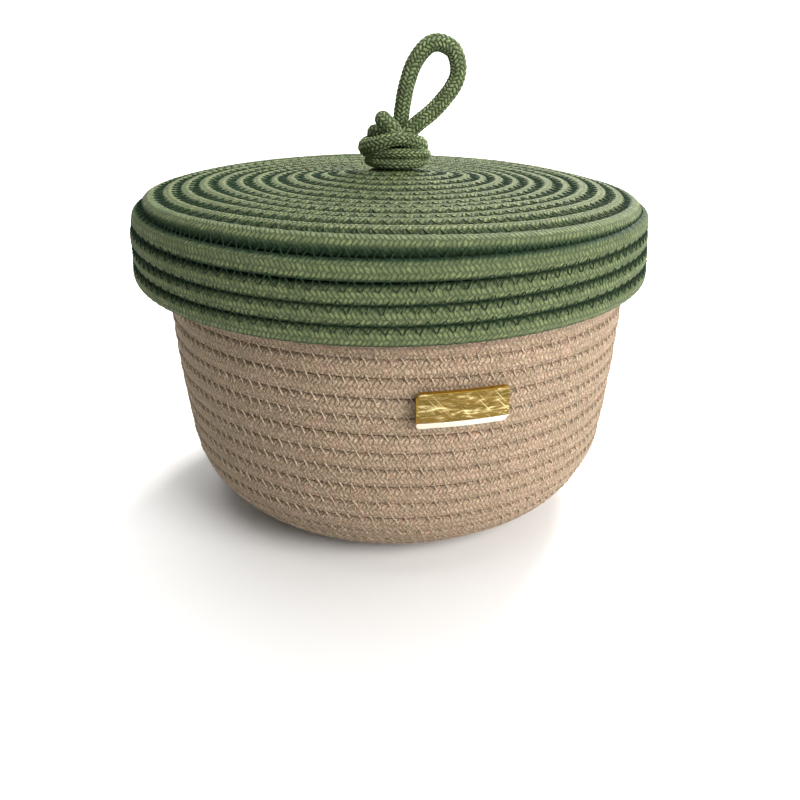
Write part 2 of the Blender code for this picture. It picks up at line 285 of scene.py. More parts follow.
def settled(points):
    """How the soft lid has settled on the basket, as x, y, z moves in millimetres.

    With r the distance from the axis, c = x / r and s = y / r, three shares rise smoothly from 0 to
    1: w over the turn into the skirt, e from r = 70 to r = 84, and low down the skirt. The skirt
    opens by low (3.1 c^2 - 1.13) at the sides, x moves by
    (1 - w)(-1.66 - 0.65 (r / 85)^2) + w (-2.27 + 0.66 c), and the height by
    -0.0111 x + 0.013 y + 0.59 - 0.55 exp(-(r / 25)^2) - 2.21 s (r / 22) exp(-(r / 28)^2)
    - 1.33 exp(-((r - 45) / 22)^2) + e (0.58 s - 1.45 c^2)
    + w (0.67 + 1.33 c + 1.56 (c^2 - s^2) - 0.73 c s).
    """
    x, y, z = (points / MM).T
    r = np.maximum(np.hypot(x, y), 1e-6)
    c, s = x / r, y / r
    outer = np.clip((r - 80) / 4, 0, 1)
    w = np.clip((116.6 - z) / 8, 0, 1) * outer
    w = w * w * (3 - 2 * w)
    e = np.clip((r - 70) / 14, 0, 1)
    e = e * e * (3 - 2 * e)
    low = np.clip((111 - z) / 18, 0, 1.2) * outer
    opened = low * (3.1 * c * c - 1.13)
    move_x = (1 - w) * (-1.66 - 0.65 * (r / 85) ** 2) + w * (-2.27 + 0.66 * c) + opened * c
    move_z = (
        -0.0111 * x
        + 0.013 * y
        + 0.59
        - 0.55 * np.exp(-((r / 25) ** 2))
        - 2.21 * s * (r / 22) * np.exp(-((r / 28) ** 2))
        - 1.33 * np.exp(-(((r - 45) / 22) ** 2))
        + e * (0.58 * s - 1.45 * c * c)
        + w * (0.67 + 1.33 * c + 1.56 * (c * c - s * s) - 0.73 * c * s)
    )
    return np.stack([move_x, opened * s, move_z], axis=1) * MM


def kept_off(points, line, reach):
    """The points, those nearer than reach to a line of radius and height moved straight out of it."""
    flat = points.reshape(-1, 3)
    radius = np.hypot(flat[:, 0], flat[:, 1])
    close = np.flatnonzero(radius > 70 * MM)
    away_r = radius[close, None] - line[None, :, 0]
    away_z = flat[close, 2][:, None] - line[None, :, 1]
    gap = np.hypot(away_r, away_z)
    nearest = gap.argmin(axis=1)
    pick = np.arange(len(close))
    gap = np.maximum(gap[pick, nearest], 1e-9)
    push = np.maximum(reach - gap, 0) / gap
    new_radius = radius[close] + away_r[pick, nearest] * push
    out = flat.copy()
    out[close, :2] *= (new_radius / radius[close])[:, None]
    out[close, 2] += away_z[pick, nearest] * push
    return out.reshape(points.shape)


class Winding:
    """A spiral cord: its middle line and its two cross directions at lengths along the meridian."""

    def __init__(self, start, runs, pitch, joined, side, wander, seed, sag=None):
        self.start, self.runs, self.pitch, self.joined, self.side = start, runs, pitch, joined, side
        self.wander, self.seed, self.sag = wander, seed, sag

    def angle(self, place):
        return MEETING_ANGLE + self.side * (place - self.joined) / self.pitch * 2 * math.pi

    def at(self, place):
        """Middle, outward normal and the direction across the rows, each as rows of x, y, z."""
        radius, height, slope = along_meridian(self.start, self.runs, place)
        angle = self.angle(place)
        calm = np.clip((radius - 12 * MM) / (30 * MM), 0, 1)
        out = waves(angle, self.seed, self.wander) * calm
        off = waves(angle, self.seed + 1, self.wander * 0.7) * calm
        normal_r, normal_z = -self.side * np.sin(slope), self.side * np.cos(slope)
        across_r, across_z = np.cos(slope), np.sin(slope)
        r = radius + normal_r * out + across_r * off
        z = height + normal_z * out + across_z * off
        c, s = np.cos(angle), np.sin(angle)
        middle = np.stack([r * c, r * s, z], axis=1)
        if self.sag:
            middle = middle + self.sag(middle)
        normal = np.stack([normal_r * c, normal_r * s, normal_z], axis=1)
        across = np.stack([across_r * c, across_r * s, across_z], axis=1)
        return middle, normal, across

    def places(self, first, last, step):
        """Places along the meridian whose rings are evenly spaced along the cord."""
        fine = np.linspace(first, last, 20000)
        middle, _, _ = self.at(fine)
        along = np.concatenate([[0], np.cumsum(np.linalg.norm(np.diff(middle, axis=0), axis=1))])
        count = max(int(round(along[-1] / step)), 2) + 1
        even = np.linspace(0, along[-1], count)
        return np.interp(even, along, fine), even

    def seam_phase(self, place, stitch):
        """How many stitches lie between the winding's start and the seam beside each place."""
        fine = np.linspace(-2 * self.pitch, self.joined * 4, 40000)
        radius, _, _ = along_meridian(self.start, self.runs, fine + self.pitch / 2)
        loop = 2 * math.pi * np.maximum(radius, 1 * MM) / self.pitch
        total = np.concatenate([[0], np.cumsum(loop[1:] * np.diff(fine))])
        return np.interp(place, fine, total) / stitch


# ---- meshes


def outward_faces(points, faces):
    """The faces, turned round where the closed body they make would have a negative volume."""
    quads = np.array([face for face in faces if len(face) == 4])
    a, b, c, d = (points[quads[:, k]] for k in range(4))
    volume = np.einsum("ij,ij->i", a, np.cross(b, c)).sum() + np.einsum("ij,ij->i", a, np.cross(c, d)).sum()
    if volume < 0:
        faces = [tuple(reversed(face)) for face in faces]
    return faces, volume < 0


def tube(name, rings, along, look, seam=None, share=None):
    """A closed tube through rings of points, with a UV map: u is the length along it, v the share round it."""
    count, sides, _ = rings.shape
    index = np.arange(count * sides).reshape(count, sides)
    here, after = index[:-1], index[1:]
    quads = np.stack([here, np.roll(here, -1, 1), np.roll(after, -1, 1), after], axis=2).reshape(-1, 4)
    faces = [tuple(quad) for quad in quads.tolist()]
    faces.append(tuple(index[0, ::-1].tolist()))
    faces.append(tuple(index[-1].tolist()))
    points = rings.reshape(-1, 3)
    faces, turned = outward_faces(points, faces)
    mesh = bpy.data.meshes.new(name)
    mesh.from_pydata(points.tolist(), [], faces)
    if share is None:
        share = np.arange(sides + 1) / sides
    u = np.stack([along[:-1], along[:-1], along[1:], along[1:]], axis=1)
    u = np.repeat(u[:, None], sides, axis=1)
    v = np.stack([share[:-1], share[1:], share[1:], share[:-1]], axis=1)
    v = np.repeat(v[None], count - 1, axis=0)
    pairs = np.stack([u, v], axis=3)
    if turned:
        pairs = pairs[:, :, ::-1]
    pairs = pairs.reshape(-1, 2)
    caps = np.concatenate([np.tile([along[0], 0.0], (sides, 1)), np.tile([along[-1], 0.0], (sides, 1))])
    layer = mesh.uv_layers.new(name="cord")
    layer.data.foreach_set("uv", np.concatenate([pairs, caps]).astype(np.float32).ravel())
    if seam is not None:
        phase = mesh.attributes.new("seam", "FLOAT", "POINT")
        phase.data.foreach_set("value", np.asarray(seam, dtype=np.float32).ravel())
    mesh.shade_smooth()
    mesh.materials.append(look)
    made = bpy.data.objects.new(name, mesh)
    bpy.context.scene.collection.objects.link(made)
    return made


# Quarters of a cord's section, as shares of its half thickness and half width
FLAT_QUARTER = ((1.0, 0.0), (0.99, 0.42), (0.945, 0.70), (0.86, 0.88), (0.66, 1.0))
PLAIN_QUARTER = ((0.66, 1.0), (0.90, 0.76), (1.0, 0.0))
ROUND_QUARTER = ((1.0, 0.0), (0.975, 0.34), (0.905, 0.58), (0.78, 0.78), (0.54, 0.95), (0.22, 1.0))


def section(outer, inner):
    """Shares round a cord's section, made of a quarter for its outer side and one for its inner side."""
    first = np.array(outer)
    last = np.array(inner) * (-1, 1)
    half = np.concatenate([first, last])
    back = half[-2:0:-1] * (1, -1)
    shares = np.concatenate([half, back])
    return shares[:, 0], shares[:, 1]


def wound_cord(name, winding, first, last, sizes, look, quarters, pulls, pinch, blunt, floor=None, line=None):
    """A sewn cord: its section carried along the winding.

    The half width is half a row, so rows touch. Beside each stitch the cord is pulled in by
    pinch, as 0.5 + 0.5 * cos(2 * pi * phase) on the side of that seam. An end that isn't blunt is
    rounded: the section shrinks there as the square root of 1 - (1 - way to the end / half a row)^2.
    """
    place, along = winding.places(first, last, sizes.step)
    middle, normal, across = winding.at(place)
    thick, wide = section(*quarters)
    up = winding.seam_phase(place, sizes.stitch) - pulls[0]
    down = winding.seam_phase(place - winding.pitch, sizes.stitch) - pulls[1]
    phase = np.where(wide[None] > 0, up[:, None], down[:, None])
    pull = (0.5 + 0.5 * np.cos(2 * math.pi * phase)) * np.clip(np.abs(wide) * 1.6 - 0.35, 0, 1)[None]
    half_thick = sizes.thick / 2 - pinch * pull
    half_wide = winding.pitch / 2 * 1.01
    way = np.full(len(along), np.inf)
    if not blunt[0]:
        way = along
    if not blunt[1]:
        way = np.minimum(way, along[-1] - along)
    rounded = np.sqrt(np.clip(1 - (1 - np.clip(way / half_wide, 0, 1)) ** 2, 0.02, 1))[:, None, None]
    rings = (
        middle[:, None]
        + normal[:, None] * (half_thick * thick[None])[:, :, None] * rounded
        + across[:, None] * (half_wide * wide[None, :, None]) * rounded
    )
    if floor is not None:
        low = rings[:, :, 2]
        rings[:, :, 2] = np.where(low < floor, floor + (low - floor) * 0.02, low)
        rings[:, :, 2] = np.maximum(rings[:, :, 2], 0.0)
    if line is not None:
        rings = kept_off(rings, line, sizes.thick / 2 + 0.25 * MM)
    corners = np.stack([half_thick.mean(axis=0) * thick, half_wide * wide], axis=1)
    steps = np.linalg.norm(np.roll(corners, -1, axis=0) - corners, axis=1)
    share = np.concatenate([[0], np.cumsum(steps)]) / steps.sum()
    return tube(name, rings, along, look, phase, share)


def sewn_thread(name, winding, first, last, sizes, look, both_ways, reach, run, lie, sides=5, seed=7):
    """The zigzag thread on one side of a winding: a short bent tube for each crossing of a seam.

    A crossing runs from -run to run along the seam and from -reach to reach across it, at the
    height of the cords beside the seam, and dips into them at its ends.
    """
    fine = np.linspace(first, last, 30000)
    phase = winding.seam_phase(fine, sizes.stitch / (2 if both_ways else 1))
    wanted = np.arange(math.ceil(phase[0]), math.floor(phase[-1]))
    place = np.interp(wanted, phase, fine)
    here, normal_a, _ = winding.at(place)
    there, normal_b, _ = winding.at(place + winding.pitch)
    across = there - here
    across /= np.linalg.norm(across, axis=1)[:, None]
    normal = normal_a + normal_b
    normal -= across * np.einsum("ij,ij->i", normal, across)[:, None]
    normal /= np.linalg.norm(normal, axis=1)[:, None]
    forward = np.cross(across, normal)
    middle = (here + there) / 2
    dice = np.random.default_rng(seed)
    count = len(place)
    t = np.array([-1.0, -0.8, -0.35, 0.0, 0.35, 0.8, 1.0])
    half_row = winding.pitch / 2
    beside = np.maximum(half_row - np.abs(t) * reach, 0)
    cover = sizes.thick / 2 * (1 - (beside / half_row) ** 2.2) ** (1 / 2.2)
    sag = sizes.thick / 2 * lie
    height = np.maximum(cover, sag) + sizes.thread * np.array([-0.9, 0.40, 0.42, 0.20, 0.42, 0.40, -0.9])
    path = np.stack([run * t, reach * np.sign(t) * np.abs(t) ** 0.95, height], axis=1)
    ahead = np.gradient(path, axis=0)
    ahead /= np.linalg.norm(ahead, axis=1)[:, None]
    one = np.cross(ahead, (0, 0, 1))
    one /= np.linalg.norm(one, axis=1)[:, None]
    two = np.cross(one, ahead)
    turn = np.arange(sides) / sides * 2 * math.pi
    thin = sizes.thread / 2 * np.array([0.6, 1, 1, 1, 1, 1, 0.6])
    shape = path[:, None] + thin[:, None, None] * (
        np.cos(turn)[None, :, None] * one[:, None] + np.sin(turn)[None, :, None] * two[:, None]
    )
    shape = shape.reshape(-1, 3)
    lean = np.where(wanted % 2 == 0, 1.0, -1.0) if both_ways else -np.ones(count)
    lean = lean * dice.uniform(0.75, 1.2, count)
    spread = dice.uniform(0.85, 1.1, count)
    local = np.stack(
        [
            shape[None, :, 0] * lean[:, None],
            shape[None, :, 1] * spread[:, None],
            shape[None, :, 2] + dice.uniform(-0.06, 0.1, (count, 1)) * MM,
        ],
        axis=2,
    )
    frames = np.stack([forward, across, normal], axis=1)
    points = middle[:, None] + np.einsum("nkc,ncx->nkx", local, frames)
    ring_count = len(t)
    index = np.arange(ring_count * sides).reshape(ring_count, sides)
    a, b = index[:-1], index[1:]
    quads = np.stack([a, np.roll(a, -1, 1), np.roll(b, -1, 1), b], axis=2).reshape(-1, 4)
    size = ring_count * sides
    flipped = lean < 0
    many = quads[None] + (np.arange(count) * size)[:, None, None]
    many[flipped] = many[flipped][:, :, ::-1]
    caps = np.stack([index[0, ::-1], index[-1]])
    many_caps = caps[None] + (np.arange(count) * size)[:, None, None]
    many_caps[flipped] = many_caps[flipped][:, :, ::-1]
    faces = many.reshape(-1, 4).tolist() + many_caps.reshape(-1, sides).tolist()
    cloud = points.reshape(-1, 3)
    sample = np.array(faces[: len(quads)])
    p = cloud - cloud[:size].mean(axis=0)
    q0, q1, q2, q3 = (p[sample[:, k]] for k in range(4))
    if (np.einsum("ij,ij->i", q0, np.cross(q1, q2)) + np.einsum("ij,ij->i", q0, np.cross(q2, q3))).sum() < 0:
        faces = [face[::-1] for face in faces]
    mesh = bpy.data.meshes.new(name)
    mesh.from_pydata(cloud.tolist(), [], faces)
    mesh.shade_smooth()
    mesh.materials.append(look)
    made = bpy.data.objects.new(name, mesh)
    bpy.context.scene.collection.objects.link(made)
    return made


def route_points(points, spacing):
    """Evenly spaced points on a smooth curve through the given ones: each stretch is the cubic
    whose slope at a point is half the step between the points before and after it."""
    points = np.asarray(points, dtype=float)
    ends = np.concatenate([[2 * points[0] - points[1]], points, [2 * points[-1] - points[-2]]])
    share = (np.arange(24) / 24)[None, :, None]
    a, b, c, d = (ends[k : len(ends) - 3 + k][:, None] for k in range(4))
    fine = 0.5 * (
        2 * b + (c - a) * share + (2 * a - 5 * b + 4 * c - d) * share**2 + (3 * b - a - 3 * c + d) * share**3
    )
    fine = np.concatenate([fine.reshape(-1, 3), points[-1:]])
    along = np.concatenate([[0], np.cumsum(np.linalg.norm(np.diff(fine, axis=0), axis=1))])
    count = int(round(along[-1] / spacing)) + 1
    even = np.linspace(0, along[-1], count)
    return np.stack([np.interp(even, along, fine[:, axis]) for axis in range(3)], axis=1), even


def around(table):
    """Points from rows of turn in degrees, distance from the axis and height."""
    turn, radius, level = np.array(table).T
    turn = np.radians(turn)
    return np.stack([radius * np.cos(turn), radius * np.sin(turn), level], axis=1)


def carried_rings(route, shares, radius):
    """Circles carried along a route, each turned as little as it can be from the one before.

    The turn is undone step by step with the rotation that takes one direction to the next.
    """
    ahead = np.gradient(route, axis=0)
    ahead /= np.linalg.norm(ahead, axis=1)[:, None]
    side = np.cross(ahead[0], (0, 0, 1.0))
    sides = []
    for forward in ahead:
        side = side - forward * np.dot(side, forward)
        side = side / np.linalg.norm(side)
        sides.append(side)
    sides = np.array(sides)
    other = np.cross(ahead, sides)
    turn = np.arange(shares) / shares * 2 * math.pi
    rim = np.cos(turn)[None, :, None] * sides[:, None] + np.sin(turn)[None, :, None] * other[:, None]
    return route[:, None] + rim * radius[:, :, None]


def braid_height(u, v, lay):
    """The braid group's height, from 0 in a groove to 1 on a crown, at lengths u and shares v."""
    a, b = 10 * (v + u / lay), 10 * (v - u / lay)
    first = (np.floor(a) + np.floor(b)) % 4 < 1.5
    across = np.where(first, a % 1, b % 1)
    along = np.where(first, (np.floor(a) + b) % 4, (np.floor(b) + a) % 4 - 2) / 2
    dome = np.sqrt(np.maximum(1 - (2 * across - 1) ** 2, 0))
    return dome * (0.4 + 0.6 * (1 - np.abs(2 * along - 1) ** 2.5))


# ---- materials


class Nodes:
    """Short ways to add and join a node tree's nodes."""

    def __init__(self, tree):
        self.tree = tree

    def add(self, kind, **settings):
        node = self.tree.nodes.new(kind)
        for name, value in settings.items():
            setattr(node, name, value)
        return node

    def put(self, socket, value):
        if isinstance(value, bpy.types.NodeSocket):
            self.tree.links.new(value, socket)
        elif value is not None:
            socket.default_value = value

    def math(self, operation, a, b=None, c=None):
        node = self.add("ShaderNodeMath", operation=operation)
        for socket, value in zip(node.inputs, (a, b, c)):
            self.put(socket, value)
        return node.outputs[0]

    def mix(self, share, a, b, blend="MIX"):
        node = self.add("ShaderNodeMix", data_type="RGBA", blend_type=blend, clamp_factor=True)
        self.put(node.inputs[0], share)
        self.put(node.inputs[6], a)
        self.put(node.inputs[7], b)
        return node.outputs[2]

    def span(self, value, low, high, to_low=0.0, to_high=1.0, smooth=False):
        node = self.add("ShaderNodeMapRange", interpolation_type="SMOOTHSTEP" if smooth else "LINEAR")
        for socket, part in zip(node.inputs, (value, low, high, to_low, to_high)):
            self.put(socket, part)
        return node.outputs[0]

    def noise(self, vector, scale, detail=2.0, rough=0.5, dimensions="3D"):
        node = self.add("ShaderNodeTexNoise", noise_dimensions=dimensions)
        self.put(node.inputs["Vector"], vector)
        node.inputs["Scale"].default_value = scale
        node.inputs["Detail"].default_value = detail
        node.inputs["Roughness"].default_value = rough
        return node.outputs["Fac"]


def group(name, inputs, outputs):
    """An empty shader node group with named sockets."""
    made = bpy.data.node_groups.new(name, "ShaderNodeTree")
    for label, kind, default in inputs:
        socket = made.interface.new_socket(name=label, in_out="INPUT", socket_type=kind)
        if default is not None:
            socket.default_value = default
    for label, kind in outputs:
        made.interface.new_socket(name=label, in_out="OUTPUT", socket_type=kind)
    tools = Nodes(made)
    return made, tools, tools.add("NodeGroupInput"), tools.add("NodeGroupOutput")


def braid_group():
    """A twenty-strand braid on a cord's UV map.

    a = 10 * (v + u / lay) and b = 10 * (v - u / lay) count the strands that wind each way. Where
    (floor a + floor b) mod 4 is under 2 the first way is on top, so each float passes over two
    strands. Height is round across the strand on top and falls towards the ends of its float.
    """
    found = bpy.data.node_groups.get("Braid")
    if found:
        return found
    made, n, entry, leave = group(
        "Braid",
        [("UV", "NodeSocketVector", None), ("Lay", "NodeSocketFloat", 0.019), ("Ply", "NodeSocketFloat", 3.0)],
        [("Height", "NodeSocketFloat"), ("Groove", "NodeSocketFloat"), ("Strand", "NodeSocketFloat"), ("Fibre", "NodeSocketVector")],
    )
    split = n.add("ShaderNodeSeparateXYZ")
    n.put(split.inputs[0], entry.outputs["UV"])
    u, v = split.outputs[0], split.outputs[1]
    laid = n.math("DIVIDE", u, entry.outputs["Lay"])
    a = n.math("MULTIPLY", n.math("ADD", v, laid), 10.0)
    b = n.math("MULTIPLY", n.math("SUBTRACT", v, laid), 10.0)
    floor_a, floor_b = n.math("FLOOR", a), n.math("FLOOR", b)
    which = n.math("FLOORED_MODULO", n.math("ADD", floor_a, floor_b), 4.0)
    first = n.math("LESS_THAN", which, 1.5)

    def float_height(across, long):
        """Round across the strand and lower at the two ends of the float."""
        side = n.math("SUBTRACT", n.math("MULTIPLY", across, 2.0), 1.0)
        dome = n.math("SQRT", n.math("MAXIMUM", n.math("SUBTRACT", 1.0, n.math("MULTIPLY", side, side)), 0.0))
        end = n.math("SUBTRACT", n.math("MULTIPLY", long, 2.0), 1.0)
        bow = n.math("SUBTRACT", 1.0, n.math("POWER", n.math("ABSOLUTE", end), 2.5))
        ply = n.math("SINE", n.math("MULTIPLY", n.math("MULTIPLY", across, entry.outputs["Ply"]), 2 * math.pi))
        lines = n.math("MULTIPLY_ADD", ply, 0.07, 0.0)
        return n.math("ADD", n.math("MULTIPLY", dome, n.math("MULTIPLY_ADD", bow, 0.6, 0.4)), lines)

    across_a = n.math("FRACT", a)
    long_a = n.math("DIVIDE", n.math("FLOORED_MODULO", n.math("ADD", floor_a, b), 4.0), 2.0)
    across_b = n.math("FRACT", b)
    long_b = n.math(
        "DIVIDE", n.math("SUBTRACT", n.math("FLOORED_MODULO", n.math("ADD", floor_b, a), 4.0), 2.0), 2.0
    )
    high_a = float_height(across_a, long_a)
    high_b = float_height(across_b, long_b)
    height = n.math("ADD", n.math("MULTIPLY", high_a, first), n.math("MULTIPLY", high_b, n.math("SUBTRACT", 1.0, first)))
    n.put(leave.inputs["Height"], height)
    n.put(leave.inputs["Groove"], n.span(height, 0.0, 0.62, 1.0, 0.0, smooth=True))
    strand = n.math("ADD", n.math("MULTIPLY", n.math("MULTIPLY_ADD", floor_a, 0.137, 0.31), first), n.math("MULTIPLY", n.math("MULTIPLY_ADD", floor_b, 0.241, 0.77), n.math("SUBTRACT", 1.0, first)))
    n.put(leave.inputs["Strand"], n.math("FRACT", n.math("MULTIPLY", n.math("SINE", n.math("MULTIPLY", strand, 91.7)), 43.3)))
    join = n.add("ShaderNodeCombineXYZ")
    along_fibre = n.math("ADD", n.math("MULTIPLY", b, first), n.math("MULTIPLY", a, n.math("SUBTRACT", 1.0, first)))
    across_fibre = n.math("ADD", n.math("MULTIPLY", a, first), n.math("MULTIPLY", b, n.math("SUBTRACT", 1.0, first)))
    n.put(join.inputs[0], along_fibre)
    n.put(join.inputs[1], across_fibre)
    n.put(join.inputs[2], n.math("MULTIPLY", first, 17.3))
    n.put(leave.inputs["Fibre"], join.outputs[0])
    return made


def lint_group():
    """Cotton lint: fine fibres drawn out along the strands, and tufts at random."""
    found = bpy.data.node_groups.get("Lint")
    if found:
        return found
    made, n, entry, leave = group(
        "Lint",
        [("Fibre", "NodeSocketVector", None), ("Fineness", "NodeSocketFloat", 1.4)],
        [("Fibres", "NodeSocketFloat"), ("Tufts", "NodeSocketFloat")],
    )
    stretch = n.add("ShaderNodeVectorMath", operation="MULTIPLY")
    n.put(stretch.inputs[0], entry.outputs["Fibre"])
    stretch.inputs[1].default_value = (0.55, 3.2, 1.0)
    fine = n.add("ShaderNodeTexNoise", noise_dimensions="3D")
    n.put(fine.inputs["Vector"], stretch.outputs[0])
    n.put(fine.inputs["Scale"], entry.outputs["Fineness"])
    fine.inputs["Detail"].default_value = 3.0
    fine.inputs["Roughness"].default_value = 0.65
    n.put(leave.inputs["Fibres"], fine.outputs["Fac"])
    tufts = n.noise(entry.outputs["Fibre"], 2.3, 3.0, 0.6)
    n.put(leave.inputs["Tufts"], tufts)
    return made


def flecks_group():
    """Coloured flecks: cells of a stretched Voronoi pattern, few of them dyed by their own random colour."""
    found = bpy.data.node_groups.get("Flecks")
    if found:
        return found
    made, n, entry, leave = group(
        "Flecks",
        [("Fibre", "NodeSocketVector", None), ("Share", "NodeSocketFloat", 0.05)],
        [("Mask", "NodeSocketFloat"), ("Hue", "NodeSocketFloat")],
    )
    stretch = n.add("ShaderNodeVectorMath", operation="MULTIPLY")
    n.put(stretch.inputs[0], entry.outputs["Fibre"])
    stretch.inputs[1].default_value = (1.4, 4.0, 1.0)
    cells = n.add("ShaderNodeTexVoronoi", feature="F1")
    n.put(cells.inputs["Vector"], stretch.outputs[0])
    cells.inputs["Scale"].default_value = 1.0
    split = n.add("ShaderNodeSeparateColor")
    n.put(split.inputs[0], cells.outputs["Color"])
    few = n.math("LESS_THAN", split.outputs[0], entry.outputs["Share"])
    near = n.span(cells.outputs["Distance"], 0.45, 0.25)
    n.put(leave.inputs["Mask"], n.math("MULTIPLY", few, near))
    n.put(leave.inputs["Hue"], split.outputs[1])
    return made


def use_group(n, tree, **values):
    node = n.add("ShaderNodeGroup", node_tree=tree)
    for label, value in values.items():
        n.put(node.inputs[label.replace("_", " ")], value)
    return node


def new_material(name):
    made = bpy.data.materials.new(name)
    made.use_nodes = True
    n = Nodes(made.node_tree)
    return made, n, made.node_tree.nodes["Principled BSDF"]


def seam_pull(n, uv):
    """How near a point is to a stitch of its seam: phase by the seam attribute, side by v."""
    split = n.add("ShaderNodeSeparateXYZ")
    n.put(split.inputs[0], uv)
    side = n.math("ABSOLUTE", n.math("SINE", n.math("MULTIPLY", split.outputs[1], 2 * math.pi)))
    seam = n.add("ShaderNodeAttribute", attribute_name="seam")
    wave = n.math("COSINE", n.math("MULTIPLY", seam.outputs["Fac"], 2 * math.pi))
    near = n.span(side, 0.45, 1.0, 0.0, 1.0, smooth=True)
    return n.math("MULTIPLY", n.math("MULTIPLY_ADD", wave, 0.5, 0.5), near), side


def strayed(n, uv, spot, stray):
    """The cord's UV map, moved along the cord and round it by slow noise: a hand-like unevenness."""
    noise = n.add("ShaderNodeTexNoise", noise_dimensions="3D")
    n.put(noise.inputs["Vector"], spot)
    noise.inputs["Scale"].default_value = 420.0
    noise.inputs["Detail"].default_value = 2.0
    centred = n.add("ShaderNodeVectorMath", operation="SUBTRACT")
    n.put(centred.inputs[0], noise.outputs["Color"])
    centred.inputs[1].default_value = (0.5, 0.5, 0.5)
    scaled = n.add("ShaderNodeVectorMath", operation="MULTIPLY_ADD")
    n.put(scaled.inputs[0], centred.outputs[0])
    scaled.inputs[1].default_value = (stray * 4, stray * 4 / (18.0 * MM), 0.0)
    n.put(scaled.inputs[2], uv)
    return scaled.outputs[0]


def cotton(name, tones, lay, relief, groove, sewn, stray, flecks=()):
    """Braided cotton: braid, lint and flecks mixed into colour, roughness and bump, with painted shade and a painted
    highlight.

    The tones are the painted shade in the grooves, the darker fibres, the plain cotton and the painted highlight on
    its lit crowns.
    """
    groove_shade, shade, base, light = tones
    made, n, shader = new_material(name)
    uv = n.add("ShaderNodeUVMap", uv_map="cord").outputs[0]
    spot = n.add("ShaderNodeTexCoord").outputs["Object"]
    braid = use_group(n, braid_group(), UV=strayed(n, uv, spot, stray), Lay=lay)
    lint = use_group(n, lint_group(), Fibre=braid.outputs["Fibre"])
    grain = n.span(n.noise(spot, 2200.0, 3.0, 0.65), 0.34, 0.66)
    colour = n.mix(n.span(lint.outputs["Fibres"], 0.34, 0.62), shade, base)
    colour = n.mix(n.math("MULTIPLY", n.span(lint.outputs["Tufts"], 0.50, 0.68), 0.6), colour, shade)
    # Painted highlight: the crowns of the strands are lightened towards the light tone, broken up by strand, grain,
    # tuft and patch noise.
    crown = n.span(braid.outputs["Height"], 0.50, 0.98, smooth=True)
    strand = n.span(braid.outputs["Strand"], -1.0, 1.0, 0.55, 1.0)
    patchy = n.math("MULTIPLY_ADD", n.span(lint.outputs["Tufts"], 0.38, 0.60), 0.50, 0.30)
    crown = n.math("MULTIPLY", n.math("MULTIPLY", crown, strand), n.math("MULTIPLY_ADD", grain, 0.45, patchy))
    highlight_patches = n.span(n.noise(spot, 230.0, 3.0, 0.6), 0.42, 0.60, 0.45, 1.0, smooth=True)
    colour = n.mix(n.math("MULTIPLY", crown, highlight_patches), colour, light)
    colour = n.mix(n.math("MULTIPLY", n.math("SUBTRACT", 1.0, grain), 0.35), colour, shade)
    # Painted shade: the grooves between the strands are darkened towards the groove shade tone.
    colour = n.mix(n.math("MULTIPLY", braid.outputs["Groove"], groove), colour, groove_shade)
    if flecks:
        mark = use_group(n, flecks_group(), Fibre=braid.outputs["Fibre"], Share=0.09)
        ramp = n.add("ShaderNodeValToRGB")
        ramp.color_ramp.interpolation = "CONSTANT"
        while len(ramp.color_ramp.elements) < len(flecks):
            ramp.color_ramp.elements.new(0.5)
        for number, (element, dye) in enumerate(zip(ramp.color_ramp.elements, flecks)):
            element.position = number / len(flecks)
            element.color = dye
        n.put(ramp.inputs[0], mark.outputs["Hue"])
        colour = n.mix(n.math("MULTIPLY", mark.outputs["Mask"], 0.8), colour, ramp.outputs[0])
        blush = n.span(n.noise(spot, 260.0, 3.0, 0.6), 0.48, 0.66, 0.0, 0.42, smooth=True)
        colour = n.mix(blush, colour, (0.52, 0.31, 0.235, 1.0))
        olive = n.span(n.noise(spot, 190.0, 2.0, 0.5), 0.50, 0.70, 0.0, 0.30, smooth=True)
        colour = n.mix(olive, colour, (0.30, 0.26, 0.16, 1.0))
        # Painted shade: from x = 30 mm leftwards the beige is darkened towards a dull olive, by up to 0.42 at x =
        # -85 mm, for the shade on the basket's left side.
        split = n.add("ShaderNodeSeparateXYZ")
        n.put(split.inputs[0], spot)
        shaded_left = n.span(split.outputs[0], 30 * MM, -85 * MM, 0.0, 0.42, smooth=True)
        colour = n.mix(shaded_left, colour, (0.20, 0.17, 0.10, 1.0))
        tufted = n.span(n.noise(spot, 520.0, 2.0, 0.5), 0.50, 0.62, 0.0, 0.42)
        colour = n.mix(tufted, colour, shade)
        fuzz = n.noise(spot, 1900.0, 3.0, 0.7)
        colour = n.mix(n.span(fuzz, 0.52, 0.68, 0.0, 0.60), colour, shade)
        colour = n.mix(n.span(fuzz, 0.48, 0.34, 0.0, 0.72), colour, light)
    height = n.math("MULTIPLY_ADD", lint.outputs["Fibres"], 0.45, n.math("MULTIPLY", braid.outputs["Height"], 0.8))
    height = n.math("MULTIPLY_ADD", lint.outputs["Tufts"], 0.35, height)
    height = n.math("MULTIPLY_ADD", grain, 0.12, height)
    if sewn:
        pulled, side = seam_pull(n, uv)
        height = n.math("MULTIPLY_ADD", pulled, -sewn, height)
        # Painted shade: the cord is darkened in the dents beside the stitches and towards its sides, where it meets
        # the next row.
        colour = n.mix(n.math("MULTIPLY", pulled, 0.7 * sewn), colour, groove_shade)
        colour = n.mix(n.span(side, 0.72 - 0.2 * sewn, 1.0 - 0.1 * sewn, 0.0, 0.9 * sewn, smooth=True), colour, groove_shade)
    n.put(shader.inputs["Base Color"], colour)
    n.put(shader.inputs["Roughness"], n.span(lint.outputs["Fibres"], 0.3, 0.7, 0.95, 0.72))
    raised = n.add("ShaderNodeBump")
    raised.inputs["Strength"].default_value = 1.0
    raised.inputs["Distance"].default_value = relief
    n.put(raised.inputs["Height"], height)
    n.put(shader.inputs["Normal"], raised.outputs[0])
    shader.inputs["Specular IOR Level"].default_value = 0.25
    return made


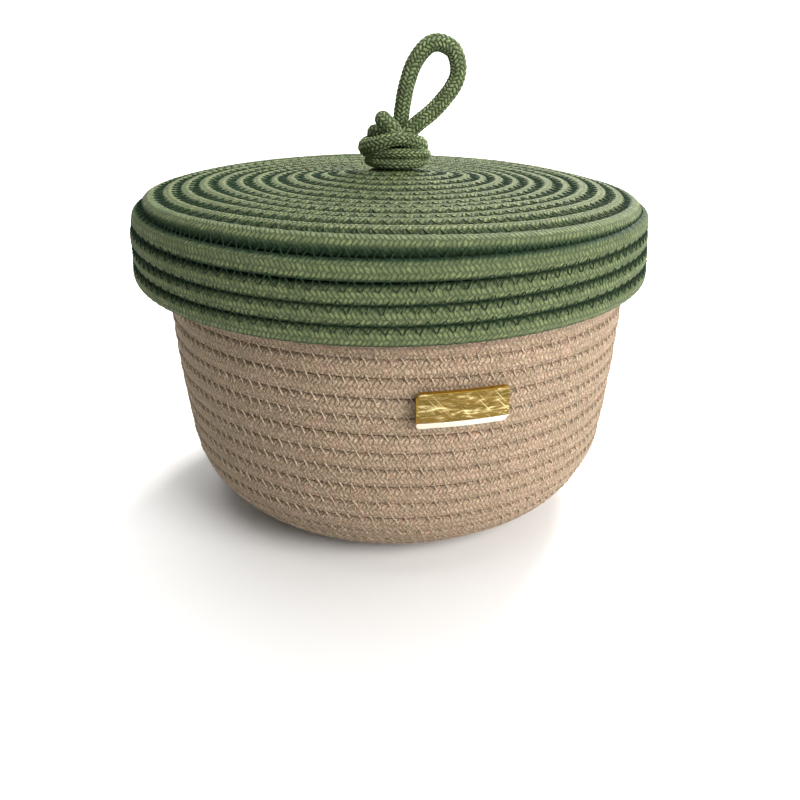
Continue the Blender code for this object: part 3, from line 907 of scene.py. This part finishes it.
def thread_material(name, base):
    """Twisted sewing thread."""
    made, n, shader = new_material(name)
    spot = n.add("ShaderNodeTexCoord").outputs["Object"]
    ply = n.noise(spot, 1800.0, 1.0, 0.5)
    light = tuple(min(part * 1.35, 1.0) for part in base) + (1.0,)
    shade = tuple(part * 0.65 for part in base) + (1.0,)
    n.put(shader.inputs["Base Color"], n.mix(n.span(ply, 0.35, 0.65), shade, light))
    n.put(shader.inputs["Roughness"], n.span(ply, 0.3, 0.7, 0.7, 0.95))
    shader.inputs["Specular IOR Level"].default_value = 0.15
    raised = n.add("ShaderNodeBump")
    raised.inputs["Strength"].default_value = 0.6
    raised.inputs["Distance"].default_value = 0.15 * MM
    n.put(raised.inputs["Height"], ply)
    n.put(shader.inputs["Normal"], raised.outputs[0])
    return made


def solid_colour(value):
    return (*value, 1.0)


def brass(sizes, look):
    """Rolled brass: bright crinkles that run along the tag, slanting scratches and a smooth lower edge with a
    painted reflection.
    """
    made, n, shader = new_material("brass")
    spot = n.add("ShaderNodeUVMap", uv_map="cord").outputs[0]
    warp = n.add("ShaderNodeMapping")
    warp.inputs["Scale"].default_value = (0.22, 1.0, 1.0)
    n.put(warp.inputs["Vector"], spot)
    wave = n.noise(warp.outputs[0], 420.0, 5.0, 0.62)
    fine = n.noise(warp.outputs[0], 1500.0, 3.0, 0.6)
    turned = n.add("ShaderNodeVectorRotate", rotation_type="Z_AXIS")
    n.put(turned.inputs["Vector"], spot)
    turned.inputs["Angle"].default_value = math.radians(48)
    drawn = n.add("ShaderNodeVectorMath", operation="MULTIPLY")
    n.put(drawn.inputs[0], turned.outputs[0])
    drawn.inputs[1].default_value = (0.05, 1.0, 1.0)
    scratch = n.span(n.noise(drawn.outputs[0], 1500.0, 1.0, 0.5), 0.64, 0.70)
    gold = look.gold
    mid = solid_colour(part * share for part, share in zip(gold, (0.24, 0.20, 0.14)))
    dark = solid_colour(part * share for part, share in zip(gold, (0.15, 0.13, 0.08)))
    pale = (0.72, 0.62, 0.31, 1.0)
    colour = n.mix(n.span(wave, 0.41, 0.55), dark, mid)
    crest = n.math("MULTIPLY", n.span(wave, 0.53, 0.60), n.span(fine, 0.42, 0.58))
    colour = n.mix(crest, colour, pale)
    colour = n.mix(n.math("MULTIPLY", n.span(fine, 0.5, 0.7), 0.35), colour, pale)
    colour = n.mix(n.math("MULTIPLY", scratch, 0.6), colour, pale)
    split = n.add("ShaderNodeSeparateXYZ")
    n.put(split.inputs[0], spot)
    # Painted reflection: the smooth lower bevel is painted near white, for the bright floor it reflects; the bump is
    # smoothed there too.
    low_edge = sizes.bevel - sizes.height / 2
    smooth_bevel_glint = n.span(split.outputs[1], low_edge, low_edge - 0.1 * MM)
    colour = n.mix(smooth_bevel_glint, colour, (1.0, 0.95, 0.80, 1.0))
    left = n.math("SUBTRACT", n.math("MULTIPLY", split.outputs[0], -1.0), sizes.width / 2)
    top = n.math("SUBTRACT", split.outputs[1], sizes.height / 2)
    rim = n.span(n.math("MAXIMUM", left, top), -0.16 * MM, -0.10 * MM)
    colour = n.mix(rim, colour, (0.52, 0.31, 0.03, 1.0))
    n.put(shader.inputs["Base Color"], colour)
    n.put(shader.inputs["Roughness"], n.span(wave, 0.3, 0.7, 0.22, 0.42))
    shader.inputs["Metallic"].default_value = 1.0
    raised = n.add("ShaderNodeBump")
    raised.inputs["Strength"].default_value = 0.6
    raised.inputs["Distance"].default_value = 0.12 * MM
    rough = n.math("MULTIPLY", n.math("ADD", wave, crest), n.math("SUBTRACT", 1.0, smooth_bevel_glint))
    n.put(raised.inputs["Height"], rough)
    n.put(shader.inputs["Normal"], raised.outputs[0])
    return made


def pale_floor():
    made, n, shader = new_material("pale_floor")
    spot = n.add("ShaderNodeTexCoord").outputs["Object"]
    grain = n.noise(spot, 9.0, 4.0, 0.5)
    n.put(shader.inputs["Base Color"], n.mix(grain, (0.86, 0.86, 0.86, 1), (0.90, 0.90, 0.90, 1)))
    shader.inputs["Roughness"].default_value = 0.9
    return made


# ---- the object's pieces


def sizes_of(context):
    return context.scene.basket_sizes, context.scene.lid_sizes, context.scene.handle_sizes, context.scene.tag_sizes


def basket_winding(sizes):
    return Winding(BASKET_START, BASKET_RUNS, BASKET_PITCH, BASKET_JOINED, CLOCKWISE, sizes.wander, 11)


def lid_winding(sizes):
    return Winding(LID_START, LID_RUNS, LID_PITCH, LID_JOINED, ANTICLOCKWISE, sizes.wander, 21, settled)


def dress(made, body, slot, *nodes):
    """Rides a piece on its body and lets it stand for its nodes, which it hides; the slot is not used."""
    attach(made, body)
    if nodes:
        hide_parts(*nodes)


class KB_OT_basket_cord(bpy.types.Operator):
    """Wind the beige cord into the base and the wall"""

    bl_idname = "knitting_basket.basket_cord"
    bl_label = "Basket cord"

    def execute(self, context):
        sizes = context.scene.basket_sizes
        looks = context.scene.basket_looks
        base = looks.beige
        look = cotton(
            "beige_braid",
            # Painted groove shade, the darker fibres, the plain beige and the painted crown highlight.
            (
                solid_colour(part * share for part, share in zip(base, (0.24, 0.22, 0.18))),
                solid_colour(part * share for part, share in zip(base, (0.46, 0.44, 0.39))),
                solid_colour(base),
                solid_colour(min(part * 1.62, 1.0) for part in base),
            ),
            15 * MM,
            0.48 * MM,
            0.40,
            0.05,
            0.38 * MM,
            (
                (0.62, 0.16, 0.07, 1.0),
                (0.78, 0.42, 0.34, 1.0),
                (0.80, 0.62, 0.18, 1.0),
                (0.85, 0.78, 0.68, 1.0),
                (0.22, 0.30, 0.44, 1.0),
                (0.80, 0.36, 0.30, 1.0),
                (0.25, 0.14, 0.08, 1.0),
            ),
        )
        winding = basket_winding(sizes)
        flat = (FLAT_QUARTER, PLAIN_QUARTER)
        bottom = wound_cord(
            "basket_base_cord", winding, BASKET_INNER_START, BASKET_JOINED, sizes, look, flat, (0, 0), 0.06 * MM, (False, True), 0.0
        )
        wall = wound_cord(
            "basket_wall_cord", winding, BASKET_JOINED, BASKET_LENGTH, sizes, look, flat, (0, 0), 0.06 * MM, (True, False)
        )
        dress(bottom, "basket", "pink_beige_cotton", "basket_base_coil")
        dress(wall, "basket", "pink_beige_cotton", "basket_wall_coil")
        return {"FINISHED"}


class KB_OT_basket_thread(bpy.types.Operator):
    """Sew the basket's rows together with the beige zigzag thread"""

    bl_idname = "knitting_basket.basket_thread"
    bl_label = "Basket thread"

    def execute(self, context):
        sizes = context.scene.basket_sizes
        look = thread_material("beige_thread", context.scene.basket_looks.beige_thread)
        winding = basket_winding(sizes)
        made = sewn_thread(
            "basket_thread", winding, 58 * MM, BASKET_LENGTH - BASKET_PITCH, sizes, look, False, 1.65 * MM, 0.80 * MM, 0.97
        )
        dress(made, "basket", "pink_beige_cotton")
        return {"FINISHED"}


class KB_OT_lid_cord(bpy.types.Operator):
    """Wind the green cord into the lid's top and skirt"""

    bl_idname = "knitting_basket.lid_cord"
    bl_label = "Lid cord"

    def execute(self, context):
        sizes = context.scene.lid_sizes
        top_look = green_cotton(context, "green_braid", 0.48, 0.95, (2.62, 2.40, 1.92), 0.60, 0.6 * MM)
        skirt_look = green_cotton(context, "green_skirt_braid", 1.0, 1.02, (2.18, 2.10, 1.90), 0.36, 0.40 * MM)
        winding = lid_winding(sizes)
        places = np.linspace(BASKET_LENGTH - 34 * MM, BASKET_LENGTH, 60)
        wall_line = np.stack(along_meridian(BASKET_START, BASKET_RUNS, places)[:2], axis=1)
        soft = (ROUND_QUARTER, PLAIN_QUARTER)
        top = wound_cord(
            "lid_top_cord", winding, LID_INNER_START, LID_JOINED, sizes, top_look, soft, (0.75, 0.25), 0.40 * MM, (False, True), line=wall_line
        )
        skirt = wound_cord(
            "lid_skirt_cord", winding, LID_JOINED, LID_LENGTH, sizes, skirt_look, soft, (0.75, 0.25), 0.40 * MM, (True, False), line=wall_line
        )
        dress(top, "lid", "olive_green_cotton", "lid_top_coil")
        dress(skirt, "lid", "olive_green_cotton", "lid_skirt_coil")
        return {"FINISHED"}


def green_cotton(context, name, sewn, plain, crown, groove, relief):
    """The lid's cotton: olive cotton with painted shade in its grooves and a painted yellow-green highlight on its
    crowns.
    """
    base = context.scene.basket_looks.green
    # Painted groove shade, the darker fibres, the plain olive and the painted crown highlight.
    tones = (
        solid_colour(part * share for part, share in zip(base, (0.14, 0.28, 0.24))),
        solid_colour(part * share for part, share in zip(base, (0.48, 0.55, 0.50))),
        solid_colour(part * plain for part in base),
        solid_colour(part * share for part, share in zip(base, crown)),
    )
    return cotton(name, tones, 0.0150, relief, groove, sewn, 0.34 * MM)


class KB_OT_lid_thread(bpy.types.Operator):
    """Sew the lid's rows together with the dark green zigzag thread"""

    bl_idname = "knitting_basket.lid_thread"
    bl_label = "Lid thread"

    def execute(self, context):
        sizes = context.scene.lid_sizes
        look = thread_material("green_thread", context.scene.basket_looks.green_thread)
        winding = lid_winding(sizes)
        made = sewn_thread(
            "lid_thread", winding, 1 * MM, LID_LENGTH - LID_PITCH, sizes, look, True, 2.15 * MM, 1.10 * MM, 0.84
        )
        dress(made, "lid", "olive_green_cotton")
        return {"FINISHED"}


class KB_OT_handle(bpy.types.Operator):
    """Knot the handle's cord on the lid"""

    bl_idname = "knitting_basket.handle"
    bl_label = "Handle"

    def execute(self, context):
        sizes = context.scene.handle_sizes
        # The handle's cotton is a lighter copy of the lid's: its plain tone is 1.35 times the green and its crown
        # highlight is stronger, painting the brighter light on the knot.
        look = green_cotton(context, "green_handle_braid", 0.0, 1.35, (4.0, 4.1, 4.0), 0.85, 0.8 * MM)
        shares = np.concatenate([around(CURL), np.array(LOOP), around(WRAPS), np.array(TAIL)])
        route, along = route_points(shares * sizes.thick + np.array([0, 0, HANDLE_BASE]), sizes.step)
        left = along[-1] - along
        half = sizes.thick / 2
        rounding = np.sqrt(np.clip(1 - (1 - np.clip(left / half, 0, 1)) ** 2, 0.01, 1))
        relief = braid_height(along[:, None], (np.arange(60) / 60)[None], 15.0 * MM)
        rings = carried_rings(route, 60, (half - 0.5 * MM * (1 - relief)) * rounding[:, None])
        rings = pressed_wraps(rings, route, along, sizes.thick)
        made = tube("handle", rings, along, look)
        dress(made, "lid", "olive_green_cotton", "handle_cord")
        return {"FINISHED"}


PRESSED = (
    (180, 380, 445, 500, 590, 640, 700, 760, 840, 900, 940, 975, 1005, 1035, 1060),
    (0.66, 0.66, 0.90, 0.72, 0.62, 0.60, 0.66, 0.85, 1.05, 1.12, 1.00, 0.84, 0.80, 0.90, 1.00),
)


def pressed_wraps(rings, route, along, thick):
    """The wraps press each other flat: heights above each ring's middle are multiplied by a share
    of the wound turn: least in the middle wrap, most where the top one begins."""
    turns = [turn for turn, _, _ in WRAPS]
    points = around(WRAPS) * thick + np.array([0, 0, HANDLE_BASE])
    marks = np.array([along[np.linalg.norm(route - point, axis=1).argmin()] for point in points])
    turn = np.interp(along, marks, turns)
    begin, end = marks[0], marks[-1]
    inside = np.clip((along - begin) / (6 * MM) + 0.5, 0, 1) * np.clip((end - along) / (6 * MM) + 0.5, 0, 1)
    share = 1 + inside * (np.interp(turn, *PRESSED) - 1)
    pressed = rings.copy()
    pressed[:, :, 2] = route[:, None, 2] + (rings[:, :, 2] - route[:, None, 2]) * share[:, None]
    return pressed


class KB_OT_tag(bpy.types.Operator):
    """Cut, bevel and bend the brass tag"""

    bl_idname = "knitting_basket.tag"
    bl_label = "Metal tag"

    def execute(self, context):
        sizes = context.scene.tag_sizes
        look = brass(sizes, context.scene.basket_looks)
        made = plate("brass_tag", sizes, look)
        dress(made, "basket", "brass", "metal_tag")
        return {"FINISHED"}


def plate(name, sizes, look):
    """A thin plate: rounded rectangles at growing heights, bent round the wall.

    Each ring is a rectangle with corner arcs, drawn in by inset(h) as the section rises from the
    back to the front; the front is filled by rings that shrink to the middle line.
    """
    radius, height, slope = along_meridian(BASKET_START, BASKET_RUNS, np.array([TAG_PLACE]))
    radius, height, slope = radius[0], height[0], slope[0]
    out = np.array([math.cos(TAG_ANGLE), math.sin(TAG_ANGLE), 0])
    tangent = np.array([-math.sin(TAG_ANGLE), math.cos(TAG_ANGLE), 0])
    normal = out * math.sin(slope) + np.array([0, 0, -math.cos(slope)])
    upward = np.cross(normal, tangent)
    middle = out * radius + np.array([0, 0, height])
    bend = 120 * MM
    half_w, half_h = sizes.width / 2, sizes.height / 2
    steps = 10
    corner_turn = np.linspace(0, math.pi / 2, steps)
    signs = ((1, 1, 0), (-1, 1, 1), (-1, -1, 2), (1, -1, 3))

    def outline(inset):
        c = max(sizes.corner - inset, 0.15 * MM)
        w, h = half_w - inset - c, half_h - inset - c
        points = []
        for sx, sy, quarter in signs:
            turn = corner_turn + quarter * math.pi / 2
            points.append(np.stack([sx * w + c * np.cos(turn), sy * h + c * np.sin(turn)], axis=1))
        points = np.concatenate(points)
        # long sides get extra points so that the plate can bend
        dense = []
        for a, b in zip(points, np.roll(points, -1, axis=0)):
            count = max(int(abs(b[0] - a[0]) / (1.0 * MM)), 1)
            dense.append(a + (b - a) * (np.arange(count) / count)[:, None])
        return np.concatenate(dense)

    base_outline = outline(0.0)
    count = len(base_outline)
    rings = []
    for inset, up_share in ((0.15, 0.0), (0.0, 0.08), (0.0, 0.50), (0.0, 0.92), (0.12, 1.0)):
        flat = base_outline * (1 - inset * MM / np.array([half_w, half_h]))
        if up_share > 0.6:
            flat[:, 1] = np.maximum(flat[:, 1], -half_h + sizes.bevel * (up_share - 0.5) * 2)
        rings.append(np.column_stack([flat, np.full(count, up_share * sizes.thick)]))
    front = rings[-1][:, :2]
    middle_y = (front[:, 1].max() + front[:, 1].min()) / 2
    half_front = (front[:, 1].max() - front[:, 1].min()) / 2
    line = np.clip(front[:, 0], -(half_w - half_front), half_w - half_front)
    for share in (0.97, 0.8, 0.6, 0.4, 0.2, 0.04):
        flat = np.column_stack([line + (front[:, 0] - line) * share, middle_y + (front[:, 1] - middle_y) * share])
        rings.append(np.column_stack([flat, np.full(count, sizes.thick)]))
    rings = np.array(rings)
    x, y, h = rings[..., 0], rings[..., 1], rings[..., 2]
    stand = 3.1 * MM + 0.3 * MM + half_w**2 / (2 * bend) - x**2 / (2 * bend) + h
    points = (
        middle
        + tangent * x[..., None]
        + upward * y[..., None]
        + normal * stand[..., None]
    )
    along = np.arange(len(rings), dtype=float)
    made = tube(name, points, along, look)
    mesh = made.data
    layer = mesh.uv_layers[0]
    corners = np.zeros(len(mesh.loops), dtype=np.int32)
    mesh.loops.foreach_get("vertex_index", corners)
    plane = np.stack([x.ravel(), y.ravel()], axis=1)[corners]
    layer.data.foreach_set("uv", plane.astype(np.float32).ravel())
    mesh.set_sharp_from_angle(angle=math.radians(35))
    return made


class KB_OT_stage(bpy.types.Operator):
    """Lay the pale floor, hang the lights and set the camera"""

    bl_idname = "knitting_basket.stage"
    bl_label = "Stage"

    def execute(self, context):
        stage = context.scene.stage_sizes
        rows = stage.samples
        y = np.concatenate([np.linspace(-2.0, 0.9, 8), 0.9 + 0.6 * np.sin(np.linspace(0.05, math.pi / 2, rows)), np.full(6, 1.5)])
        z = np.concatenate([np.zeros(8), 0.6 - 0.6 * np.cos(np.linspace(0.05, math.pi / 2, rows)), np.linspace(0.8, 3.0, 6)])
        x = np.linspace(-2.5, 2.5, 12)
        grid = np.stack(np.broadcast_arrays(x[None], y[:, None], z[:, None]), axis=2)
        index = np.arange(grid.shape[0] * grid.shape[1]).reshape(grid.shape[:2])
        quads = np.stack([index[:-1, :-1], index[:-1, 1:], index[1:, 1:], index[1:, :-1]], axis=2).reshape(-1, 4)
        mesh = bpy.data.meshes.new("pale_sweep")
        mesh.from_pydata(grid.reshape(-1, 3).tolist(), [], quads.tolist())
        mesh.shade_smooth()
        mesh.materials.append(pale_floor())
        floor = bpy.data.objects.new("pale_sweep", mesh)
        context.scene.collection.objects.link(floor)
        world = bpy.data.worlds.new("soft_room")
        world.use_nodes = True
        n = Nodes(world.node_tree)
        toward = n.add("ShaderNodeSeparateXYZ")
        n.put(toward.inputs[0], n.add("ShaderNodeTexCoord").outputs["Generated"])
        room = world.node_tree.nodes["Background"]
        room.inputs[0].default_value = (1.0, 1.0, 1.0, 1.0)
        n.put(room.inputs[1], n.span(toward.outputs[0], -0.8, 0.8, 0.12, 0.50, smooth=True))
        context.scene.world = world
        add_light("window", (0.62, -0.60, 0.55), (0, 0, 0.06), 0.5, 10.6, (1.0, 0.985, 0.96))
        add_light("back_window", (0.45, 0.85, 0.75), (0, 0, 0.1), 0.5, 25.0, (1.0, 0.98, 0.94))
        add_light("ceiling", (-0.05, 0.15, 1.25), (0, 0.1501, 0), 1.0, 8.5, (1.0, 1.0, 1.0))
        add_light("backdrop", (0.0, 0.55, 1.1), (0, 1.5, 0.35), 1.0, 14.0, (1.0, 1.0, 1.0))
        add_camera(stage)
        context.scene.view_settings.view_transform = "Standard"
        return {"FINISHED"}


def aim(position, target):
    """A matrix that puts a light at a position, looking at a target."""
    position, target = np.array(position, float), np.array(target, float)
    forward = (target - position) / np.linalg.norm(target - position)
    right = np.cross(forward, (0, 0, 1.0))
    right /= np.linalg.norm(right)
    return placed(position, right, np.cross(right, forward), forward)


def placed(position, right, up, forward):
    rows = np.eye(4)
    rows[:3, 0], rows[:3, 1], rows[:3, 2], rows[:3, 3] = right, up, -forward, position
    return Matrix(rows.tolist())


def add_light(name, position, target, size, power, tint):
    data = bpy.data.lights.new(name, "AREA")
    data.shape = "SQUARE"
    data.size = size
    data.energy = power
    data.color = tint
    made = bpy.data.objects.new(name, data)
    bpy.context.scene.collection.objects.link(made)
    made.matrix_world = aim(position, target)


def add_camera(stage):
    """The photograph's view, from its solved place, pitch, yaw and roll."""
    pitch, yaw, roll = 0.432, 0.005, -0.001
    forward = np.array([math.sin(yaw) * math.cos(pitch), math.cos(yaw) * math.cos(pitch), -math.sin(pitch)])
    right = np.array([math.cos(yaw), -math.sin(yaw), 0.0])
    up = np.cross(right, forward)
    turned_right = math.cos(roll) * right + math.sin(roll) * up
    turned_up = -math.sin(roll) * right + math.cos(roll) * up
    data = bpy.data.cameras.new("photo_view")
    data.lens = stage.focal
    data.sensor_width = 36.0
    data.clip_start = 0.01
    made = bpy.data.objects.new("photo_view", data)
    bpy.context.scene.collection.objects.link(made)
    place = (0.0, -stage.camera_distance, stage.camera_height)
    made.matrix_world = placed(place, turned_right, turned_up, forward)
    bpy.context.scene.camera = made


class KB_PT_panel(bpy.types.Panel):
    """The basket's pieces, sizes and colours"""

    bl_idname = "KB_PT_panel"
    bl_label = "Coiled Basket"
    bl_space_type = "VIEW_3D"
    bl_region_type = "UI"
    bl_category = "Coiled Basket"

    def draw(self, context):
        layout = self.layout
        for operator in OPERATORS:
            layout.operator(operator.bl_idname)
        for group_name in ("basket_sizes", "lid_sizes", "handle_sizes", "tag_sizes", "basket_looks", "stage_sizes"):
            box = layout.box()
            settings = getattr(context.scene, group_name)
            for name in settings.__annotations__:
                box.prop(settings, name)


OPERATORS = (
    KB_OT_basket_cord,
    KB_OT_basket_thread,
    KB_OT_lid_cord,
    KB_OT_lid_thread,
    KB_OT_handle,
    KB_OT_tag,
    KB_OT_stage,
)
GROUPS = {
    "basket_sizes": BasketSizes,
    "lid_sizes": LidSizes,
    "handle_sizes": HandleSizes,
    "tag_sizes": TagSizes,
    "basket_looks": Looks,
    "stage_sizes": StageSizes,
}


def register():
    for made in (*GROUPS.values(), *OPERATORS, KB_PT_panel):
        bpy.utils.register_class(made)
    for name, made in GROUPS.items():
        setattr(bpy.types.Scene, name, PointerProperty(type=made))


def unregister():
    for name in GROUPS:
        delattr(bpy.types.Scene, name)
    for made in (KB_PT_panel, *reversed(OPERATORS), *reversed(list(GROUPS.values()))):
        bpy.utils.unregister_class(made)


def main():
    register()
    bpy.ops.knitting_basket.basket_cord()
    bpy.ops.knitting_basket.basket_thread()
    bpy.ops.knitting_basket.lid_cord()
    bpy.ops.knitting_basket.lid_thread()
    bpy.ops.knitting_basket.handle()
    bpy.ops.knitting_basket.tag()
    bpy.ops.knitting_basket.stage()


if __name__ == "__main__":
    main()
